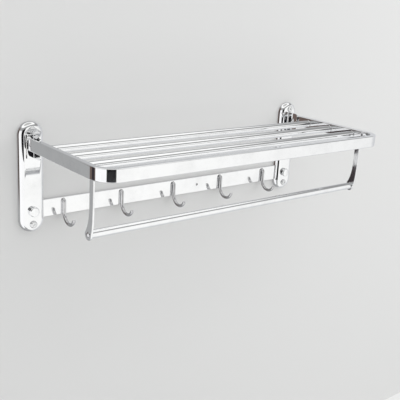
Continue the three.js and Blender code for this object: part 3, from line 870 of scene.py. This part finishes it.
def wall_screw(name, level):
    node = f"{name}_{level}_screw"
    _, high, centre, size = node_box(node)
    radius = size.x / 2
    head, edge = SCREW_HEADS[level]
    base = size.y - head
    shank = SCREW / 2
    profile = [(0.0, 0.0), (shank - 0.6 * MM, 0.0)]
    profile += thread_profile(shank, 0.5 * MM, base - 3 * MM, 1.3 * MM)
    profile += [(shank, base - 2 * MM), (shank, base)]
    profile += rounded_cap(radius, head, edge, SCREW_HEAD_CROWN, base)
    screw = turned(node, profile, (0, 0, 0), OUT, 48)
    carve(screw, cross_recess("recess", (0, -size.y, 0), OUT, *SCREW_RECESS))
    screw.location = (centre.x, high.y, centre.z)
    finish_piece(screw, WALL_SIDE, SATIN, node)

    node = f"{name}_{level}_bush"
    _, high, centre, size = node_box(node)
    profile = pipe_profile(SCREW / 2 + GAP, size.x / 2, 0.0, size.y, SPACER_EDGE)
    bush = turned(node, profile, (centre.x, high.y, centre.z), OUT, 40, closed=True)
    finish_piece(bush, WALL_SIDE, SATIN, node)


# ---- Shelf ------------------------------------------------------------------------------------


def band_ring(place, sideways, thick, bottom, top):
    """Rounded rectangle across the band at a place on its centre line."""
    r = BAND_EDGE
    ring = []
    high = min(r, (top - bottom) / 2)
    for su, sv, start in ((1, 1, 0), (-1, 1, 90), (-1, -1, 180), (1, -1, 270)):
        for i in range(6):
            angle = math.radians(start + 90 * i / 5)
            u = su * (thick / 2 - r) + r * math.cos(angle)
            edge = top - high if sv > 0 else bottom + high
            ring.append(place + sideways * u + Vector((0, 0, edge + high * math.sin(angle))))
    return ring


def shelf_frame():
    low, high, centre, size = node_box("shelf_frame")
    _, tube_high, _, _ = node_box("shelf_tube_1")
    thick = high.x - tube_high.x - GAP
    pin = node_box("left_hinge_pin")[2]
    reach = size.z / 2
    bend = BAND_BEND - thick / 2
    x_arm, y_front, y_end = high.x - thick / 2, low.y + thick / 2, high.y
    stations = []
    for i in range(13):
        angle = math.pi / 2 * i / 12
        stations.append((Vector((x_arm, pin.y + reach * math.cos(angle), 0)), Vector((1, 0, 0))))
    for i in range(1, 9):
        y = pin.y + (y_front + bend - pin.y) * i / 8
        stations.append((Vector((x_arm, y, 0)), Vector((1, 0, 0))))
    for i in range(1, 21):
        angle = math.pi / 2 * i / 20
        outwards = Vector((math.cos(angle), -math.sin(angle), 0))
        stations.append((Vector((x_arm - bend, y_front + bend, 0)) + outwards * bend, outwards))
    half = list(stations)
    for i in range(1, 12):
        x = (x_arm - bend) * (1 - i / 6)
        stations.append((Vector((x, y_front, 0)), Vector((0, -1, 0))))
    mirror = [(Vector((-p.x, p.y, 0)), Vector((-n.x, n.y, 0))) for p, n in reversed(half)]
    rings = []
    for place, outwards in stations + mirror:
        d = place.y - pin.y
        top = high.z
        if d > 0:
            top = centre.z + math.sqrt(max(reach * reach - d * d, 0.0))
            top = max(top, centre.z)
        rings.append(band_ring(place, outwards, thick, low.z, top))
    band = make_piece("shelf_frame", *loft(rings))
    carve(band, *[pin_hole(side * x_arm, pin, 2 * thick) for side in SIDES.values()])
    return finish_piece(band, SHELF, STEEL["across"], "shelf_frame")


def shelf_tube(index):
    node = f"shelf_tube_{index}"
    _, _, centre, size = node_box(node)
    radius, half = size.z / 2, size.x / 2
    side = [(radius, x) for x in (half - 6 * MM, half - 1.0 * MM)]
    flare = [(radius + 0.45 * MM * t * t, half - 1.0 * MM * (1 - t)) for t in (0.35, 0.7, 1.0)]
    right = side + flare
    left = [(r, -x) for r, x in reversed(right)]
    middle = [(radius, -half + 2 * half * i / 12) for i in range(1, 12)]
    profile = [(0.0, -half)] + left + middle + right + [(0.0, half)]
    tube = turned(node, profile, centre, (1, 0, 0), 64)
    return finish_piece(tube, SHELF, STEEL["across"], node)


def quadratic(start, control, end, steps):
    points = []
    for i in range(1, steps + 1):
        t = i / steps
        u = start[0] * (1 - t) ** 2 + control[0] * 2 * t * (1 - t) + end[0] * t * t
        v = start[1] * (1 - t) ** 2 + control[1] * 2 * t * (1 - t) + end[1] * t * t
        points.append((u, v))
    return points


def hanger(name, side):
    node = f"{name}_hanger"
    low, high, _, _ = node_box(node)
    bar = node_box("towel_bar")[2]
    boss = bar.z - low.z
    front, rear = low.y, low.y + HANGER_WIDTH
    flare = bar.z + 5 * boss
    corner = HANGER_CORNER
    outline = [(front, high.z - corner), (front, flare)]
    outline += quadratic((front, flare), (front, bar.z + boss * 1.6), (bar.y - boss, bar.z), 16)
    for i in range(1, 29):
        angle = math.pi * (1 + 1.05 * i / 28)
        outline.append((bar.y + boss * math.cos(angle), bar.z + boss * math.sin(angle)))
    outline += quadratic(outline[-1], (rear, bar.z + boss * 2), (rear, flare), 18)
    outline.append((rear, high.z - corner))
    for centre_y, start in ((rear - corner, 0), (front + corner, 90)):
        for i in range(1, 6):
            angle = math.radians(start + 90 * i / 5)
            z = high.z - corner + corner * math.sin(angle)
            outline.append((centre_y + corner * math.cos(angle), z))
    outline.pop()
    piece = sheet_piece(node, outline, low.x, high.x, "x", HANGER_EDGE)
    return finish_piece(piece, SHELF, STEEL["upright"], node)


def towel_bar():
    _, _, centre, size = node_box("towel_bar")
    radius, half = size.z / 2, size.x / 2
    right = [(radius, half - 4 * MM), (radius, half - 0.5 * MM), (radius - 0.5 * MM, half)]
    left = [(r, -x) for r, x in reversed(right)]
    middle = [(radius, -half + 2 * half * i / 12) for i in range(1, 12)]
    profile = [(0.0, -half)] + left + middle + right + [(0.0, half)]
    bar = turned("towel_bar", profile, centre, (1, 0, 0), 64)
    return finish_piece(bar, SHELF, STEEL["across"], "towel_bar")


def bar_fixing(name, side):
    """Screw through the hanger's boss; the bar's plug is inside the bar."""
    node = f"{name}_bar_screw"
    low, high, centre, size = node_box(node)
    radius, head = size.z / 2, BAR_SCREW_HEAD
    inner = low.x if side > 0 else high.x
    base = size.x - head
    shank = BAR_SCREW / 2
    profile = [(0.0, 0.0), (shank - 0.4 * MM, 0.0)]
    profile += thread_profile(shank, 0.4 * MM, base - 3.4 * MM, 0.7 * MM)
    profile += [(shank, base - 3.2 * MM), (shank, base), (radius, base), (radius, base + 0.4 * MM)]
    profile += dome(radius - 0.15 * MM, head - 0.5 * MM, base + 0.45 * MM, 12)
    axis = Vector((side, 0, 0))
    screw = turned(node, profile, (0, 0, 0), axis, 48)
    carve(screw, cross_recess("recess", axis * size.x, axis, *BAR_SCREW_RECESS))
    screw.location = (inner, centre.y, centre.z)
    finish_piece(screw, SHELF, SATIN, node)


def arm_plug(name):
    node = f"{name}_arm_plug"
    low, high, _, _ = node_box(node)
    pin = node_box(f"{name}_hinge_pin")[2]
    r = high.z - pin.z
    outline = [(low.y, low.z), (high.y, low.z), (high.y, pin.z)]
    for i in range(1, 13):
        angle = math.pi / 2 * i / 12
        outline.append((pin.y + r * math.cos(angle), pin.z + r * math.sin(angle)))
    outline.append((low.y, high.z))
    piece = sheet_piece(node, outline, low.x, high.x, "x", 0.4 * MM)
    return finish_piece(piece, SHELF, NYLON, node)


def bar_plug(name):
    node = f"{name}_bar_plug"
    _, _, centre, size = node_box(node)
    half = size.x / 2
    profile = pipe_profile(BAR_SCREW / 2 + GAP, size.z / 2, -half, half, SPACER_EDGE)
    plug = turned(node, profile, centre, (1, 0, 0), 40, closed=True)
    return finish_piece(plug, SHELF, SATIN, node)


# ---- Stage, light and camera ------------------------------------------------------------------

FLOOR_DROP = 0.75  # origin to the floor
STAGE_SIZE = 6.0
WALL_HALF = 2.2
WALL_TOP = 2.0
WALL_BEHIND = 0.6 * MM  # the plates' backs to the wall


def stage_material(name, colour, one_sided):
    material = bpy.data.materials.new(name)
    material.use_nodes = True
    tree = material.node_tree
    shader = tree.nodes["Principled BSDF"]
    shader.inputs["Base Color"].default_value = (*colour, 1)
    shader.inputs["Roughness"].default_value = 0.9
    shader.inputs["Specular IOR Level"].default_value = 0.1
    if one_sided:
        clear = tree.nodes.new("ShaderNodeBsdfTransparent")
        mix = tree.nodes.new("ShaderNodeMixShader")
        back = tree.nodes.new("ShaderNodeNewGeometry").outputs["Backfacing"]
        tree.links.new(back, mix.inputs["Fac"])
        tree.links.new(shader.outputs["BSDF"], mix.inputs[1])
        tree.links.new(clear.outputs["BSDF"], mix.inputs[2])
        tree.links.new(mix.outputs["Shader"], tree.nodes["Material Output"].inputs["Surface"])
    return material


def stage_plane(name, corners, material):
    mesh = bpy.data.meshes.new(name)
    mesh.from_pydata(corners, [], [tuple(range(len(corners)))])
    plane = bpy.data.objects.new(name, mesh)
    bpy.context.scene.collection.objects.link(plane)
    plane.data.materials.append(material)
    return plane


def make_stage():
    s, z = STAGE_SIZE, -FLOOR_DROP
    floor_paint = stage_material("floor_paint", (0.80, 0.80, 0.79), False)
    floor = stage_plane("floor", [(-s, -s, z), (s, -s, z), (s, s, z), (-s, s, z)], floor_paint)
    floor.visible_glossy = False
    wall_paint = stage_material("wall_paint", (0.72, 0.72, 0.715), True)
    y, half, top = WALL_BEHIND, WALL_HALF, WALL_TOP
    corners = [(-half, y, z), (half, y, z), (half, y, top), (-half, y, top)]
    wall = stage_plane("wall", corners, wall_paint)
    wall.visible_shadow = False
    wall.visible_diffuse = False
    wall.visible_glossy = False


CARD_OUT = 0.30  # wall to the card
CARD_X = (-0.75, -0.325)
CARD_Z = (-0.45, 0.012)
CARD_GLOW = 1.1


def make_bounce_card():
    """A white card, seen only in the steel, that lightens the lower part of the left plate."""
    material = bpy.data.materials.new("bounce_card")
    material.use_nodes = True
    shader = material.node_tree.nodes["Principled BSDF"]
    shader.inputs["Base Color"].default_value = (0, 0, 0, 1)
    shader.inputs["Emission Color"].default_value = (1, 1, 1, 1)
    shader.inputs["Emission Strength"].default_value = CARD_GLOW
    y = -CARD_OUT
    left, right = CARD_X
    bottom, top = CARD_Z
    corners = [(left, y, bottom), (right, y, bottom), (right, y, top), (left, y, top)]
    card = stage_plane("bounce_card", corners, material)
    card.visible_camera = False
    card.visible_diffuse = False
    card.visible_shadow = False


def area_light(name, place, target, size, power):
    """A soft box that lights the wall and floor; the world draws what the steel mirrors."""
    data = bpy.data.lights.new(name, "AREA")
    data.shape = "RECTANGLE"
    data.size, data.size_y = size
    data.energy = power
    light = bpy.data.objects.new(name, data)
    light.location = place
    light.rotation_mode = "QUATERNION"
    light.rotation_quaternion = (Vector(target) - Vector(place)).to_track_quat("-Z", "Y")
    light.visible_glossy = False
    bpy.context.scene.collection.objects.link(light)
    return light


# What stands round the shelf in the studio, painted one over the other. Azimuth runs from straight
# out of the wall (0) to the right (90) and elevation from the horizon up, both in degrees.
# name: (left, right, bottom, top), softness of the sides, softness of top and bottom, brightness
STUDIO_PANELS = {
    "ceiling": ((-400, 400, 46, 100), 1, 4, (1.25, 1.25, 1.24)),
    "back_low": ((125, 400, -60, 2), 10, 4, (0.29, 0.29, 0.295)),
    "ceiling_top": ((-400, 400, 64, 100), 1, 7, (0.60, 0.60, 0.595)),
    "ceiling_gap": ((-60, 110, 29, 43), 12, 4, (0.34, 0.34, 0.34)),
    "right_side": ((60, 150, -60, 24), 22, 8, (0.66, 0.67, 0.69)),
    "front_sweep": ((-4.5, 92, -70, 24), 1.2, 5, (1.12, 1.12, 1.11)),
    "front_sweep_end": ((62, 128, -70, 24), 30, 8, (0.70, 0.71, 0.73)),
    "left_box": ((-108.5, -50.5, -70, 24), 1.2, 5, (1.15, 1.15, 1.16)),
    "dark_gap": ((-50.5, -4.5, -17.2, 26), 1.2, 0.6, (0.012, 0.012, 0.014)),
    "dark_corner": ((-147.5, -108.5, -17, 34), 1.5, 1.2, (0.17, 0.13, 0.115)),
    "dark_corner_middle": ((-131, -114, -17, 20), 3, 1.2, (0.045, 0.038, 0.042)),
}
STUDIO_BACK = (0.42, 0.425, 0.43)
PLAIN_SURROUND = (0.80, 0.805, 0.81)


def mask_between(tree, value, low, high, softness):
    rise = tree.nodes.new("ShaderNodeMapRange")
    fall = tree.nodes.new("ShaderNodeMapRange")
    for node, edge, ends in ((rise, low, (0, 1)), (fall, high, (1, 0))):
        node.interpolation_type = "SMOOTHSTEP"
        node.inputs["From Min"].default_value = edge - softness
        node.inputs["From Max"].default_value = edge + softness
        node.inputs["To Min"].default_value, node.inputs["To Max"].default_value = ends
        tree.links.new(value, node.inputs["Value"])
    return math_node(tree, "MULTIPLY", rise.outputs["Result"], fall.outputs["Result"])


def make_studio():
    world = bpy.data.worlds.new("studio")
    bpy.context.scene.world = world
    world.use_nodes = True
    tree = world.node_tree
    where = tree.nodes.new("ShaderNodeTexCoord").outputs["Generated"]
    split = tree.nodes.new("ShaderNodeSeparateXYZ")
    tree.links.new(where, split.inputs["Vector"])
    out = math_node(tree, "MULTIPLY", split.outputs["Y"], -1.0)
    azimuth = math_node(tree, "DEGREES", math_node(tree, "ARCTAN2", split.outputs["X"], out))
    elevation = math_node(tree, "DEGREES", math_node(tree, "ARCSINE", split.outputs["Z"]))
    colour = None
    for (left, right, bottom, top), side_soft, level_soft, brightness in STUDIO_PANELS.values():
        across = mask_between(tree, azimuth, left, right, side_soft)
        upward = mask_between(tree, elevation, bottom, top, level_soft)
        mix = tree.nodes.new("ShaderNodeMix")
        mix.data_type = "RGBA"
        tree.links.new(math_node(tree, "MULTIPLY", across, upward), mix.inputs["Factor"])
        mix.inputs["A"].default_value = (*STUDIO_BACK, 1)
        mix.inputs["B"].default_value = (*brightness, 1)
        if colour is not None:
            tree.links.new(colour, mix.inputs["A"])
        colour = mix.outputs["Result"]
    seen = tree.nodes.new("ShaderNodeMix")
    seen.data_type = "RGBA"
    mirrored = tree.nodes.new("ShaderNodeLightPath").outputs["Is Glossy Ray"]
    tree.links.new(mirrored, seen.inputs["Factor"])
    seen.inputs["A"].default_value = (*PLAIN_SURROUND, 1)
    tree.links.new(colour, seen.inputs["B"])
    tree.links.new(seen.outputs["Result"], tree.nodes["Background"].inputs["Color"])


def make_lights():
    area_light("ceiling_light", (0.3, -1.2, 1.9), (0, 0, 0.1), (2.4, 1.6), 12)
    area_light("right_light", (1.9, -1.9, 0.6), (0.2, 0, 0.1), (1.6, 1.6), 14)
    area_light("back_light", (0.4, 2.2, 1.2), (0, 0, 0.1), (2.0, 1.4), 10)


CAMERA_PLACE = Vector((-0.7703, -1.0296, 0.3656))
CAMERA_TURN = math.radians(39.264)
CAMERA_TILT = math.radians(-16.760)
CAMERA_ROLL = math.radians(3.399)
CAMERA_LENS = 63.1


def make_camera():
    data = bpy.data.cameras.new("camera")
    data.lens = CAMERA_LENS
    data.sensor_width = 36.0
    camera = bpy.data.objects.new("camera", data)
    bpy.context.scene.collection.objects.link(camera)
    level = math.cos(CAMERA_TILT)
    ahead_x, ahead_y = math.sin(CAMERA_TURN) * level, math.cos(CAMERA_TURN) * level
    ahead = Vector((ahead_x, ahead_y, math.sin(CAMERA_TILT)))
    right = ahead.cross(Vector((0, 0, 1))).normalized()
    up = right.cross(ahead)
    c, s = math.cos(CAMERA_ROLL), math.sin(CAMERA_ROLL)
    right, up = right * c + up * s, up * c - right * s
    turn = Matrix((right, up, -ahead)).transposed()
    camera.matrix_world = Matrix.Translation(CAMERA_PLACE) @ turn.to_4x4()
    bpy.context.scene.camera = camera


# ---- Assembly ---------------------------------------------------------------------------------

make_camera()
make_stage()
make_bounce_card()
make_studio()
make_lights()
bpy.context.scene.view_settings.view_transform = "Standard"

hook_rail()
for number in range(1, HOOK_COUNT + 1):
    wire_hook(number)
shelf_frame()
for number in range(1, TUBE_COUNT + 1):
    shelf_tube(number)
towel_bar()
for name, side in SIDES.items():
    wall_plate(name, side)
    hinge_bracket(name, side)
    bracket_welds(name)
    hinge_pin(name, side)
    washer(f"{name}_hinge_washer")
    rail_fixing(name)
    wall_screw(name, "upper")
    wall_screw(name, "lower")
    hanger(name, side)
    bar_plug(name)
    bar_fixing(name, side)
    arm_plug(name)
